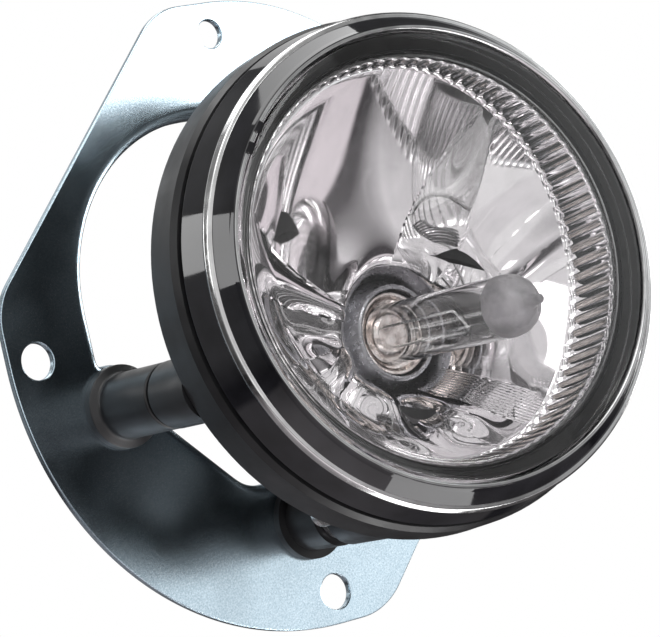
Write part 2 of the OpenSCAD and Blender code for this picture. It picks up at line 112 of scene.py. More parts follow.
def panel(name, at, size, strength, aim=(0.0, -20.0, 0.0)):
    """A soft rectangular light, at a place in millimetres, that faces a point near the lamp."""
    data = bpy.data.lights.new(name, "AREA")
    data.shape = "RECTANGLE"
    data.size, data.size_y = size[0] * MM, size[1] * MM
    data.energy = strength * math.pi * data.size * data.size_y
    light = in_scene(name, data)
    back = (Vector(at) - Vector(aim)).normalized()
    right = Vector((0, 0, 1)).cross(back).normalized()
    light.matrix_world = Matrix.Translation(Vector(at) * MM) @ Matrix(
        (right, back.cross(right), back)).transposed().to_4x4()
    light.visible_camera = False
    return light


def make_lights():
    """Soft boxes all round the lamp. Their edges show in the gloss of the bezel."""
    panel("high_panel", (-160, -520, 620), (520, 300), 3.0)
    panel("top_box", (60, 200, 640), (560, 360), 3.4)
    panel("back_left_box", (-490, 470, 280), (260, 205), 3.6, (-45, -55, 0))
    panel("left_box", (-668, -34, 300), (170, 320), 4.2, (-45, -55, 0))
    panel("back_box", (250, 900, 350), (900, 600), 0.8)
    panel("low_box", (40, -60, -560), (460, 300), 3.2, (0, -60, 0))
    panel("low_strip", (80, -420, -520), (480, 60), 10.0)
    panel("right_box", (620, 0, 40), (280, 560), 8.0)
    panel("front_panel", (-350, -790, -56), (150, 150), 1.6)


def whiten_plate():
    """Two soft boxes that only the plate receives, a strong one high up and a weak one low down."""
    lights = [panel("plate_panel", (330, -420, 140), (300, 150), 3.8, (-20, 0, 60)),
              panel("plate_low_panel", (285, -415, -100), (280, 130), 0.9, (-20, 0, -60))]
    plate = bpy.data.collections.new("plate_only")
    plate.objects.link(bpy.data.objects["mounting_plate_sheet"])
    for light in lights:
        light.light_linking.receiver_collection = plate


def remap(tree, source, from_low, from_high, low, high, kind="LINEAR"):
    """Moves a value from one range to another, and holds it at the ends."""
    node = tree.nodes.new("ShaderNodeMapRange")
    node.interpolation_type = kind
    for socket, value in (("From Min", from_low), ("From Max", from_high),
                          ("To Min", low), ("To Max", high)):
        node.inputs[socket].default_value = value
    tree.links.new(source, node.inputs["Value"])
    return node.outputs["Result"]


def ramp(tree, source, stops):
    """Turns a value into a colour. Each stop is (value, colour), in rising order."""
    node = tree.nodes.new("ShaderNodeValToRGB")
    elements = node.color_ramp.elements
    while len(elements) < len(stops):
        elements.new(0.5)
    for i, (value, colour) in enumerate(stops):
        elements[i].position = value
        elements[i].color = (*colour, 1)
    tree.links.new(source, node.inputs["Fac"])
    return node.outputs["Color"]


def product(tree, first, *others):
    """Multiplies values."""
    for other in others:
        node = tree.nodes.new("ShaderNodeMath")
        node.operation = "MULTIPLY"
        tree.links.new(first, node.inputs[0])
        tree.links.new(other, node.inputs[1])
        first = node.outputs[0]
    return first


def make_world():
    """Studio surroundings, from the white table at the bottom to the ceiling, with a window's glow on
    the right. They get darker to the left, to the right and behind the lamp."""
    world = bpy.data.worlds.new("studio")
    bpy.context.scene.world = world
    world.use_nodes = True
    tree = world.node_tree
    tree.nodes.clear()
    coord = tree.nodes.new("ShaderNodeTexCoord")
    split = tree.nodes.new("ShaderNodeSeparateXYZ")
    tree.links.new(coord.outputs["Generated"], split.inputs[0])
    x, y, z = (split.outputs[axis] for axis in "XYZ")

    def fade(source, start, end, low, high):
        """A soft step from one level to another, along an axis of the direction looked in."""
        return remap(tree, source, start, end, low, high, "SMOOTHSTEP")

    table, gap = (0.95, 0.89, 0.92), (0.06, 0.055, 0.06)
    room, ceiling = (0.86, 0.85, 0.86), (1, 1, 1)
    stops = [(-1, table), (-0.47, table), (-0.44, gap), (-0.36, gap), (-0.2, room), (0.2, room),
             (0.27, ceiling)]
    room_light = tree.nodes.new("ShaderNodeBackground")
    colours = ramp(tree, remap(tree, z, -1, 1, 0, 1),
                   [((up + 1) / 2, colour) for up, colour in stops])
    tree.links.new(colours, room_light.inputs["Color"])
    level = product(tree, fade(x, -0.92, -0.72, 0.35, 1.0), fade(x, 0.0, 0.4, 1.0, 0.3),
                    fade(y, -0.2, 0.15, 1.0, 0.3))
    tree.links.new(level, room_light.inputs["Strength"])
    window = tree.nodes.new("ShaderNodeBackground")
    window.inputs["Color"].default_value = (0.96, 0.99, 1.0, 1)
    glow = product(tree, fade(x, 0.42, 0.66, 0.0, 1.0), fade(z, -0.15, 0.2, 0.35, 0.8),
                   fade(y, -0.4, -0.1, 1.0, 0.0))
    tree.links.new(glow, window.inputs["Strength"])
    total = tree.nodes.new("ShaderNodeAddShader")
    for i, light in enumerate((room_light, window)):
        tree.links.new(light.outputs[0], total.inputs[i])
    out = tree.nodes.new("ShaderNodeOutputWorld")
    tree.links.new(total.outputs[0], out.inputs["Surface"])


def make_sweep():
    """Pale floor that rises into a seamless backdrop all the way round, in metres. Only the camera
    sees it, so it lights nothing and isn't mirrored."""
    floor_z, flat, bend, steps = -0.16, 2.4, 2.2, 96
    profile = [(0, floor_z), (flat, floor_z)]
    for angle in range(6, 91, 6):
        a = math.radians(angle)
        profile.append((flat + bend * math.sin(a), floor_z + bend * (1 - math.cos(a))))
    # the wall goes on up, and closes overhead
    profile += [(flat + bend, floor_z + bend * 2.2), (flat, floor_z + bend * 3.2),
                (0, floor_z + bend * 3.6)]
    mesh = bpy.data.meshes.new("studio_sweep")
    bm = bmesh.new()
    rows = []
    for r, z in profile:
        if r == 0:
            rows.append([bm.verts.new((0, 0, z))] * steps)
        else:
            rows.append([bm.verts.new((*polar(r, math.tau * i / steps), z)) for i in range(steps)])
    stack(bm, rows)
    for face in bm.faces:
        face.smooth = True
    bm.to_mesh(mesh)
    bm.free()
    sweep = in_scene("studio_sweep", mesh)
    mat = bpy.data.materials.new("studio_paper")
    mat.use_nodes = True
    nodes = mat.node_tree.nodes
    nodes.clear()
    glow = nodes.new("ShaderNodeEmission")
    glow.inputs["Color"].default_value = (1, 1, 1, 1)
    glow.inputs["Strength"].default_value = 1.0
    out = nodes.new("ShaderNodeOutputMaterial")
    mat.node_tree.links.new(glow.outputs[0], out.inputs["Surface"])
    mesh.materials.append(mat)
    sweep.visible_diffuse = False
    sweep.visible_glossy = False
    sweep.visible_transmission = False
    sweep.visible_shadow = False


# ---------------------------------------------------------------- materials

def surface(name, colour, metallic, roughness, vary=0.0):
    """A new material and its shader. Its colour varies in soft clouds, by the share in vary."""
    mat = bpy.data.materials.new(name)
    mat.use_nodes = True
    shader = mat.node_tree.nodes["Principled BSDF"]
    shader.inputs["Base Color"].default_value = (*colour, 1)
    if vary:
        shades = [tuple(c * (1 + side * vary) for c in colour) for side in (-1, 0.2, 1)]
        clouds = tint(mat, spread(mat, grain(mat, 180, 6), 0, 1), shades)
        mat.node_tree.links.new(clouds, shader.inputs["Base Color"])
    shader.inputs["Metallic"].default_value = metallic
    shader.inputs["Roughness"].default_value = roughness
    return mat, shader


def grain(mat, scale, detail, stretch=(1, 1, 1)):
    """Noise that is fixed to the object, in patches 1/scale metres wide."""
    nodes, links = mat.node_tree.nodes, mat.node_tree.links
    coord = nodes.new("ShaderNodeTexCoord")
    place = nodes.new("ShaderNodeMapping")
    place.inputs["Scale"].default_value = stretch
    links.new(coord.outputs["Object"], place.inputs["Vector"])
    tex = nodes.new("ShaderNodeTexNoise")
    tex.inputs["Scale"].default_value = scale
    tex.inputs["Detail"].default_value = detail
    links.new(place.outputs["Vector"], tex.inputs["Vector"])
    return tex.outputs["Fac"]


def spread(mat, source, low, high, from_low=0.35, from_high=0.65):
    """Stretches a noise to run between two values."""
    return remap(mat.node_tree, source, from_low, from_high, low, high)


def tint(mat, source, colours):
    """Turns a value into a colour, with the colours evenly spaced."""
    last = len(colours) - 1
    return ramp(mat.node_tree, source, [(i / last, colour) for i, colour in enumerate(colours)])


def roughen(mat, shader, scale, detail, low, high):
    """Lets the roughness vary in patches."""
    mat.node_tree.links.new(spread(mat, grain(mat, scale, detail), low, high),
                            shader.inputs["Roughness"])


def bump(mat, shader, source, depth_mm, strength):
    """Relief of a real depth."""
    node = mat.node_tree.nodes.new("ShaderNodeBump")
    node.inputs["Strength"].default_value = strength
    node.inputs["Distance"].default_value = depth_mm * MM
    mat.node_tree.links.new(source, node.inputs["Height"])
    mat.node_tree.links.new(node.outputs["Normal"], shader.inputs["Normal"])


def zinc_plate():
    """Blue passivated zinc: fine mottled grain, with a gloss that varies in wide clouds."""
    mat, shader = surface("zinc_plate", (0.5, 0.6, 0.66), 1, 0.3)
    speck = grain(mat, 2600, 3)
    shades = [(0.36, 0.46, 0.53), (0.46, 0.57, 0.64), (0.58, 0.68, 0.75)]
    mat.node_tree.links.new(tint(mat, spread(mat, speck, 0, 1, 0.3, 0.7), shades),
                            shader.inputs["Base Color"])
    roughen(mat, shader, 60, 5, 0.19, 0.26)
    bump(mat, shader, speck, 0.03, 0.15)
    return mat


def moulded(name, colour, roughness, pebble_mm, depth_mm):
    """Grained moulded plastic or rubber."""
    mat, shader = surface(name, colour, 0, roughness, 0.25)
    roughen(mat, shader, 120, 4, roughness - 0.06, roughness + 0.08)
    bump(mat, shader, grain(mat, 1 / (pebble_mm * MM), 2), depth_mm, 0.5)
    return mat


def gloss_black():
    """Glossy moulded plastic with a faint orange peel."""
    mat, shader = surface("gloss_black", (0.010, 0.010, 0.012), 0, 0.07, 0.3)
    shader.inputs["IOR"].default_value = 1.55
    roughen(mat, shader, 160, 5, 0.02, 0.07)
    bump(mat, shader, grain(mat, 70, 1), 0.02, 0.12)
    return mat


def bright_metal(name, colour, low, high, wave_mm, wave_scale):
    """Vapour-coated aluminium over a moulding that isn't perfectly flat."""
    mat, shader = surface(name, colour, 1, low, 0.03)
    roughen(mat, shader, 260, 4, low, high)
    bump(mat, shader, grain(mat, wave_scale, 2), wave_mm, 0.3)
    return mat


def turned_steel(name, colour, roughness):
    """Turned or rolled metal with fine marks."""
    mat, shader = surface(name, colour, 1, roughness, 0.12)
    roughen(mat, shader, 900, 3, roughness - 0.08, roughness + 0.1)
    bump(mat, shader, grain(mat, 2500, 2, (1, 6, 1)), 0.01, 0.3)
    return mat


def clear_glass(name, ior):
    """Clear glass with a slight haze in places."""
    mat, shader = surface(name, (1, 1, 1), 0, 0.0)
    shader.inputs["Transmission Weight"].default_value = 1
    shader.inputs["IOR"].default_value = ior
    roughen(mat, shader, 200, 4, 0.0, 0.012)
    return mat


def cup_metal():
    """Heat-tinted bright metal with soft dents."""
    mat, shader = surface("cup_metal", (0.75, 0.62, 0.58), 1, 0.22)
    dent = grain(mat, 340, 2)
    shades = [(0.45, 0.39, 0.37), (0.80, 0.73, 0.69), (0.92, 0.88, 0.86)]
    mat.node_tree.links.new(tint(mat, spread(mat, dent, 0, 1, 0.3, 0.7), shades),
                            shader.inputs["Base Color"])
    roughen(mat, shader, 500, 2, 0.12, 0.26)
    bump(mat, shader, dent, 0.5, 0.7)
    return mat


def bead_painted_highlight():
    """Painted highlight: bright silver metal on the bezel's bead and lip, standing in for the highlight
    lines that the gloss black shows there.
    """
    mat, shader = surface("bead_painted_highlight", (0.6, 0.6, 0.6), 1, 0.16, 0.12)
    roughen(mat, shader, 400, 4, 0.1, 0.24)
    bump(mat, shader, grain(mat, 300, 2), 0.02, 0.2)
    return mat


MATS = {
    "zinc_plate": zinc_plate(),
    "gloss_black": gloss_black(),
    "clear_glass": clear_glass("clear_glass", 1.5),
    "bulb_glass": clear_glass("bulb_glass", 1.46),
    "bright_reflector": bright_metal("bright_reflector", (0.88, 0.865, 0.875), 0.02, 0.05, 0.02, 90),
    "cup_metal": cup_metal(),
    # painted highlight: silver in place of gloss black on the bezel's bead and lip
    "bead_painted_highlight": bead_painted_highlight(),
}
for slot, *look in (
        ("matte_black", (0.008, 0.008, 0.009), 0.38, 0.35, 0.02),
        ("black_rubber", (0.02, 0.02, 0.02), 0.65, 0.8, 0.03),
        ("nylon", (0.03, 0.03, 0.03), 0.4, 0.6, 0.02),
        ("tip_paint", (0.54, 0.52, 0.54), 0.28, 0.4, 0.003),
        ("seal_rubber", (0.4, 0.12, 0.05), 0.5, 0.6, 0.02)):
    MATS[slot] = moulded(slot, *look)
for slot, *look in (
        ("dark_metal", (0.10, 0.10, 0.105), 0.3),
        ("plated_steel", (0.68, 0.68, 0.68), 0.28),
        ("spring_steel", (0.4, 0.4, 0.42), 0.3),
        ("contact_brass", (0.72, 0.55, 0.26), 0.25)):
    MATS[slot] = turned_steel(slot, *look)


def finish_frame_nodes():
    """Gives every carried-over node its finish."""
    slots = {part["node"]: part["material_slot"] for part in frame["record"]["subparts"]}
    for name, node in frame["nodes"].items():
        mats = node.data.materials
        if not mats:
            mats.append(MATS[slots[name]])
        for i in range(len(mats)):
            mats[i] = MATS[slots[name]]


# ---------------------------------------------------------------- mesh tools

def turn_and_place(at, turns):
    """A frame whose z axis points forward, out of a place in front of the plate."""
    place = Matrix.Translation(at)
    for angle, axis in turns:
        place = place @ Matrix.Rotation(math.radians(angle), 4, axis)
    return place


def on_plate(at):
    """The frame of the supports, the bulb and the beam, with z as the height above the plate."""
    return turn_and_place((at[0], -PLATE_T, at[1]), [(90, "X")])


LENS_FRAME = turn_and_place((LENS_AT[0], -PLATE_T - LENS_H, LENS_AT[1]),
                            [(LENS_YAW, "Z"), (90 - LENS_PITCH, "X")])


def soften(corners):
    """Rounds the corners of a closed outline. Each corner is (x, z, radius)."""
    steps = 5
    outline = []
    for i, (x, z, radius) in enumerate(corners):
        here = Vector((x, z))
        if radius == 0:
            outline.append((x, z))
            continue
        a = Vector(corners[i - 1][:2]) - here
        b = Vector(corners[(i + 1) % len(corners)][:2]) - here
        half = a.angle(b) / 2
        reach = min(radius / math.tan(half), a.length * 0.48, b.length * 0.48)
        start, end = here + a.normalized() * reach, here + b.normalized() * reach
        for k in range(steps + 1):
            f = k / steps
            outline.append(tuple(start.lerp(here, f).lerp(here.lerp(end, f), f)))
    return outline


def new_piece(name, bm, materials, place, body, node, sharp=35, pick=None):
    """Turns millimetre mesh data into a finished piece that stands for a CAD node. Edges sharper than
    an angle stay crisp, and pick says which of the materials a face takes."""
    bmesh.ops.recalc_face_normals(bm, faces=bm.faces)
    bm.transform(Matrix.Scale(MM, 4) @ place)
    for face in bm.faces:
        face.smooth = True
        if pick:
            face.material_index = pick(face)
    mesh = bpy.data.meshes.new(name)
    bm.to_mesh(mesh)
    bm.free()
    for material in materials:
        mesh.materials.append(MATS[material])
    mesh.set_sharp_from_angle(angle=math.radians(sharp))
    piece = in_scene(name, mesh)
    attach(piece, body)
    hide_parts(node)


def bridge(bm, here, after):
    """Joins two closed rows of vertices. Where vertices are shared, a triangle is left, or nothing."""
    for k in range(len(here)):
        j = (k + 1) % len(here)
        corners = list(dict.fromkeys([here[k], here[j], after[j], after[k]]))
        if len(corners) > 2:
            bm.faces.new(corners)


def rings(bm, sections):
    """Joins cross-sections, one after the other all the way round."""
    for i, here in enumerate(sections):
        bridge(bm, here, sections[(i + 1) % len(sections)])


def stack(bm, rows, capped=False):
    """Joins rows of vertices, each to the next one, and closes both ends if they are capped."""
    for here, after in zip(rows, rows[1:]):
        bridge(bm, here, after)
    if capped:
        bm.faces.new(rows[0])
        bm.faces.new(rows[-1])


def lathe(outline, steps):
    """A closed solid of revolution round z. A point on the axis is one shared vertex."""
    bm = bmesh.new()
    axis = {k: bm.verts.new((0, 0, z)) for k, (r, z) in enumerate(outline) if r < 1e-6}
    sections = []
    for i in range(steps):
        a = math.tau * i / steps
        sections.append([axis[k] if k in axis else bm.verts.new((*polar(r, a), z))
                         for k, (r, z) in enumerate(outline)])
    rings(bm, sections)
    return bm


def wire(bm, path, radius, sides=10):
    """A round wire along a path, closed at both ends."""
    path = [Vector(p) for p in path]
    rows = []
    side = Vector((0.3, 0.9, 0.1))  # any direction that no path starts along
    for i, here in enumerate(path):
        ahead = (path[min(i + 1, len(path) - 1)] - path[max(i - 1, 0)]).normalized()
        side = (side - ahead * side.dot(ahead)).normalized()
        up = ahead.cross(side)
        rows.append([bm.verts.new(here + radius * (side * math.cos(math.tau * k / sides)
                                                   + up * math.sin(math.tau * k / sides)))
                     for k in range(sides)])
    stack(bm, rows, capped=True)


def arc(centre, radius, start, end, steps):
    """Points along an arc, with angles in degrees."""
    return [(centre[0] + radius * math.cos(math.radians(start + (end - start) * i / steps)),
             centre[1] + radius * math.sin(math.radians(start + (end - start) * i / steps)))
            for i in range(steps + 1)]


def even(loop, spacing):
    """The same closed loop with evenly spaced points."""
    points = [Vector(p) for p in loop] + [Vector(loop[0])]
    lengths = [0.0]
    for a, b in zip(points, points[1:]):
        lengths.append(lengths[-1] + (b - a).length)
    count = int(lengths[-1] / spacing)
    result, k = [], 0
    for i in range(count):
        want = lengths[-1] * i / count
        while lengths[k + 1] < want:
            k += 1
        f = (want - lengths[k]) / (lengths[k + 1] - lengths[k])
        result.append(points[k].lerp(points[k + 1], f))
    return result


def smooth_loop(loop, passes):
    """Softens the corners of an evenly spaced loop."""
    for _ in range(passes):
        loop = [(loop[i - 1] + loop[i] * 2 + loop[(i + 1) % len(loop)]) / 4
                for i in range(len(loop))]
    return loop


def offset_loop(loop, distance):
    """Moves an anticlockwise loop outwards by a distance."""
    moved = []
    for i, here in enumerate(loop):
        along = (loop[(i + 1) % len(loop)] - loop[i - 1]).normalized()
        moved.append(here + Vector((along.y, -along.x)) * distance)
    return moved


# ---------------------------------------------------------------- the sheet-metal plate

PLATE_R, PLATE_SIDE, PLATE_FLAT = 66.8, 57.0, 56.0
BOLT_R = 60.0
HOLES = ((0, BOLT_R, 3.0), (-BOLT_R, 0, 3.75), (0, -BOLT_R, 3.75))  # x, z, radius
FLANGE_DEPTH = 3.2
BEND_R = 2.4  # outside of the bend
PAD_R = 9.0
CHAMFER = 0.28
APRON = 1.0  # width of the flat band beside each edge


def rounded_outline(corners, spacing):
    """A closed anticlockwise outline with true arcs at its corners, each given as (x, z, radius)."""
    loop = []
    for i, (x, z, radius) in enumerate(corners):
        here = Vector((x, z))
        a = (Vector(corners[i - 1][:2]) - here).normalized()
        b = (Vector(corners[(i + 1) % len(corners)][:2]) - here).normalized()
        half = a.angle(b) / 2
        centre = here + (a + b).normalized() * radius / math.sin(half)
        middle = math.degrees(math.atan2(*reversed(here - centre)))
        sweep = 90 - math.degrees(half)
        loop += arc(centre, radius, middle - sweep, middle + sweep, max(4, int(radius)))
    return even(loop, spacing)


def plate_outlines():
    """The plate's edge and its opening, which keeps clear of the seats of the posts."""
    slant = PLATE_FLAT * math.sqrt(2) - PLATE_R
    edge = rounded_outline([
        (-PLATE_R, -PLATE_R, PLATE_R - 0.1), (slant, -PLATE_R, 16),
        (PLATE_SIDE, PLATE_SIDE - PLATE_FLAT * math.sqrt(2), 16), (PLATE_SIDE, PLATE_R, PLATE_SIDE - 1),
        (-slant, PLATE_R, 14), (-PLATE_R, slant, 14)], 0.9)
    opening = rounded_outline([
        (-45.4, -4.4, 5), (-15.3, -34.5, 8), (38, -34.5, 20), (38, 43, 30), (-45.4, 43, 35.8)], 0.35)
    for at in (POST_LEFT, POST_RIGHT, POST_LOW):
        centre = Vector(at)
        opening = [p if (p - centre).length > PAD_R else centre + (p - centre).normalized() * PAD_R
                   for p in opening]
    return edge, smooth_loop(even(opening, 0.6), 3)


def mounting_plate():
    """The stamped plate, with broken edges, three screw holes and a turned flange round the opening."""
    edge, opening = plate_outlines()
    bm = bmesh.new()

    def rows(loop, section, outward):
        """Rings of vertices along a loop. A section point is (distance into the sheet, y)."""
        made = []
        for inset, y in section:
            made.append([bm.verts.new((p.x, y, p.y)) for p in offset_loop(loop, inset * outward)])
        stack(bm, made)
        return made[0], made[-1]

    def bend(radius, start, end, steps):
        """Section points round the bend of the flange."""
        return [(BEND_R + radius * math.cos(a), BEND_R - PLATE_T + radius * math.sin(a))
                for a in (math.radians(start + (end - start) * i / steps) for i in range(steps + 1))]

    soft = CHAMFER * (1 - math.sqrt(0.5))
    cut = [(APRON, -PLATE_T), (CHAMFER, -PLATE_T), (soft, -PLATE_T + soft), (0, -PLATE_T + CHAMFER),
           (0, -CHAMFER), (soft, -soft), (CHAMFER, 0), (APRON, 0)]
    broken = 0.2
    flange = [(BEND_R + APRON, -PLATE_T), *bend(BEND_R, 270, 180, 8),
              (0, FLANGE_DEPTH - broken), (broken, FLANGE_DEPTH),
              (PLATE_T - broken, FLANGE_DEPTH), (PLATE_T, FLANGE_DEPTH - broken),
              *bend(BEND_R - PLATE_T, 180, 270, 6), (BEND_R + APRON, 0)]
    holes = [[Vector((x + r * math.cos(math.tau * i / 64), z + r * math.sin(math.tau * i / 64)))
              for i in range(64)] for x, z, r in HOLES]
    fronts, backs = [], []
    for loop, section, outward in [(edge, cut, -1), (opening, flange, 1)] + [
            (hole, cut, 1) for hole in holes]:
        front, back = rows(loop, section, outward)
        fronts.append(front)
        backs.append(back)
    for loops in (fronts, backs):
        borders = [bm.edges.get((loop[i], loop[(i + 1) % len(loop)])) for loop in loops
                   for i in range(len(loop))]
        bmesh.ops.triangle_fill(bm, use_beauty=True, edges=borders)
    new_piece("mounting_plate_sheet", bm, ["zinc_plate"], Matrix.Identity(4), "carrier",
              "mounting_plate", sharp=15)


# ---------------------------------------------------------------- supports

POST_H, POST_R, POST_BORE_R = 19.0, 6.8, 2.5
SEAT_R, SEAT_H = 8.6, 1.8
SCREW_R, THREAD_PITCH, THREAD_DEPTH = 3.0, 1.5, 0.42
SCREW_END_H = 33.5
KNOB_BACK_H = -17.0
THREAD_START_H = 12.2
GROOVE_H, GROOVE_R = (11.2, THREAD_START_H), 2.4
COLLAR_H, COLLAR_R = (-6.2, -4.2), 4.8
POINT_H, POINT_CUT = 30.0, 0.9  # the chamfer at the screw's end


def moulded_post(side, at):
    """A post with a rounded top and a ring step at its seat."""
    outline = soften([
        (POST_BORE_R, POST_H, 0.15), (POST_R, POST_H, 0.6), (POST_R, 2.6, 0.9), (SEAT_R, SEAT_H, 0.4),
        (SEAT_R, 0, 0), (POST_BORE_R, 0, 0)])
    new_piece("post_" + side, lathe(outline, 96), ["matte_black"], on_plate(at), "carrier",
              "pivot_post_" + side)


def screw_radius(h, turned):
    """Radius of the aiming screw at a height, and at a share of a turn round it."""
    r = SCREW_R
    if h > THREAD_START_H:
        phase = (h / THREAD_PITCH - turned) % 1
        r -= THREAD_DEPTH * (1 - abs(2 * phase - 1))
    if GROOVE_H[0] < h < GROOVE_H[1]:
        r = GROOVE_R
    if COLLAR_H[0] < h < COLLAR_H[1]:
        r = COLLAR_R
    point = SCREW_R - POINT_CUT + (SCREW_END_H - h)
    return min(r, point) if h > POINT_H else r


def aiming_screw():
    """Rolled thread on the spindle, with the groove of its clip and the collar behind the sleeve."""
    steps, columns = 300, 40
    low = KNOB_BACK_H + 1.0
    bm = bmesh.new()
    rows = []
    for i in range(steps + 1):
        h = low + (SCREW_END_H - low) * i / steps
        rows.append([bm.verts.new((*polar(screw_radius(h, k / columns), math.tau * k / columns), h))
                     for k in range(columns)])
    stack(bm, rows, capped=True)
    new_piece("aiming_screw", bm, ["plated_steel"], on_plate(POST_LOW), "adjuster", "adjuster_screw",
              sharp=30)


# ---------------------------------------------------------------- bezel, lens and seals

def bezel():
    """The gloss ring in front, with its bead round the outside and its lip round the lens. The bead and
    the lip are painted bright silver as highlight lines.
    """
    outline = soften([
        (45.6, -0.75, 0.2), (46.05, -0.12, 0.35), (46.75, -0.2, 0.35), (47.3, -1.1, 0.5),
        (49.45, -4.15, 0.3), (50.25, -4.25, 0.55), (50.85, -5.35, 0.7), (50.3, -6.5, 0.5),
        (50.2, -6.8, 0.2), (51.7, -13.1, 0.4), (51.5, -13.6, 0.2), (47.5, -13.6, 0),
        (47.5, -9.5, 0), (45.6, -9.5, 0)])
    to_lens = (Matrix.Scale(MM, 4) @ LENS_FRAME).inverted()

    def painted_highlight_faces(face):
        """The bead and the lip take the bright silver of a painted highlight."""
        at = to_lens @ face.calc_center_median()
        reach = math.hypot(at.x, at.y)
        bead = reach > 49.5 and -6.5 < at.z < -4.05
        lip = reach < 46.6 and at.z > -0.7
        return int(bead or lip)

    # faces of the bead and lip get painted highlight silver instead of gloss black
    new_piece("bezel_ring", lathe(outline, 288), ["gloss_black", "bead_painted_highlight"], LENS_FRAME, "lamp",
              "bezel", sharp=25, pick=painted_highlight_faces)


def lens_glass():
    """A pressed glass with a shallow dome in front, a hollow back and a skirt that the seal grips."""
    edge, rise, thick, steps = 44.2, 2.2, 3.6, 20
    hollow_r, hollow = 40, 1.8
    dome = [(edge * (1 - (i / steps)), rise * (1 - (1 - i / steps) ** 2), 0)
            for i in range(1, steps + 1)]
    back = [(hollow_r * i / steps, -(thick - rise) - hollow * (i / steps) ** 2, 0)
            for i in range(steps + 1)]
    outline = soften([(42.3, -8.5, 0.3), (45.3, -8.5, 0.3), (45.3, -1.3, 0.6), (45.0, -0.3, 0.5),
                      (edge, 0, 0.3)] + dome + back + [(42.3, -4.4, 1.2)])
    new_piece("lens_glass", lathe(outline, 240), ["clear_glass"], LENS_FRAME, "lamp", "lens",
              sharp=40)


# ---------------------------------------------------------------- reflector

HOLE_R, HOLE_H = 11.55, 10.5  # the hole for the bulb
FUNNEL_H = 6.6  # steep part round the hole
RIM_H = 46.0
RIM_R = 41.0
RIM_AT = (0.4, 1.1)
BOWL_WALL = 0.9
FLUTES = 88
FLUTE_R = 41.6
FLUTE_DEPTH = 0.22
FLUTE_BACK_R = 42.2
FLUTE_TOP_Z = -6.7

# Facets round the bulb: direction of the crease at the hole and at the rim, the bulge of the facet
# that follows it anticlockwise, and how much the facet leans across
FACETS = [
    (-44, -66, 1.1, 0.0), (32, 73, 0.5, 0.3), (86, 76, 0.6, 0.3), (150, 153, 1.6, 0.5),
    (162, 168, -1.3, 0.8), (182, 184, 1.7, -0.7), (202, 203, -1.2, 0.6), (222, 222, 1.5, -0.8),
    (243, 241, -1.0, 0.7), (262, 258, 1.2, -0.5), (282, 276, 0.5, 0.3),
]
FOLDED = range(4, 10)  # the facets at the lower left, which are folded along the ray as well
FOLD, FOLDS = 0.7, 1.6
RIBS, RIB_DEPTH = 11, 0.16  # fine ribs on the last facet


def facet_relief(theta, t):
    """How far a facet stands forward of the plain bowl, with t from 0 at the hole to 1 at the rim."""
    bounds = [a + (b - a) * t for a, b, _, _ in FACETS]
    turned = (theta - bounds[0]) % 360 + bounds[0]
    index = max(i for i in range(len(bounds)) if turned >= bounds[i] - 1e-9)
    start = bounds[index]
    end = bounds[index + 1] if index + 1 < len(bounds) else bounds[0] + 360
    across = (turned - start) / (end - start)
    _, _, bulge, lean = FACETS[index]
    swell = 4 * t * (1 - t) * (1.4 - 0.6 * t)
    relief = (bulge * math.sin(math.pi * across) + lean * (across - 0.5)) * swell
    if index == len(bounds) - 1:
        relief += RIB_DEPTH * math.cos(math.tau * RIBS * across) * min(1, 6 * t * (1 - t))
    if index in FOLDED:
        relief += FOLD * math.sin(math.tau * FOLDS * t + index) * swell
    return relief


def bowl_height(theta, r, reach):
    """Height of the reflector above the plate, with reach the distance from the bulb to the rim."""
    t = (r - HOLE_R) / (reach - HOLE_R)
    power = 1.3 + 0.4 * (reach - 22) / 38  # the bowl stays flatter for longer where the rim is far
    funnel = FUNNEL_H * (1 - math.exp(-(r - HOLE_R) / 2))
    slope = RIM_H - HOLE_H - FUNNEL_H
    return HOLE_H + funnel + slope * t ** power + facet_relief(theta, t)


def rim_reach(theta, radius=RIM_R):
    """Distance from the bulb's axis to the reflector's rim."""
    u = Vector((math.cos(math.radians(theta)), math.sin(math.radians(theta))))
    c = Vector(RIM_AT) - Vector(BULB_AT)
    return c.dot(u) + math.sqrt(radius ** 2 - c.length_squared + c.dot(u) ** 2)


def reflector():
    """The freeform bowl, with a flat ledge round its rim where the fluted wall stands."""
    columns, rows = 720, 54
    bm = bmesh.new()
    sections = []
    for i in range(columns):
        theta = 360 * i / columns
        reach = rim_reach(theta)
        front = []
        for k in range(rows + 1):
            t = k / rows
            r = HOLE_R + (reach - HOLE_R) * t
            front.append((r, bowl_height(theta, r, reach)))
        ledge = rim_reach(theta, FLUTE_R + 0.4)
        front += [(reach + 0.12, RIM_H + 0.02), (ledge, RIM_H)]
        loop = front + [(r, h - BOWL_WALL) for r, h in reversed(front)]
        c, s = math.cos(math.radians(theta)), math.sin(math.radians(theta))
        sections.append([bm.verts.new((r * c, r * s, h)) for r, h in loop])
    rings(bm, sections)
    new_piece("reflector_bowl", bm, ["bright_reflector"], on_plate(BULB_AT), "lamp", "reflector",
              sharp=14)


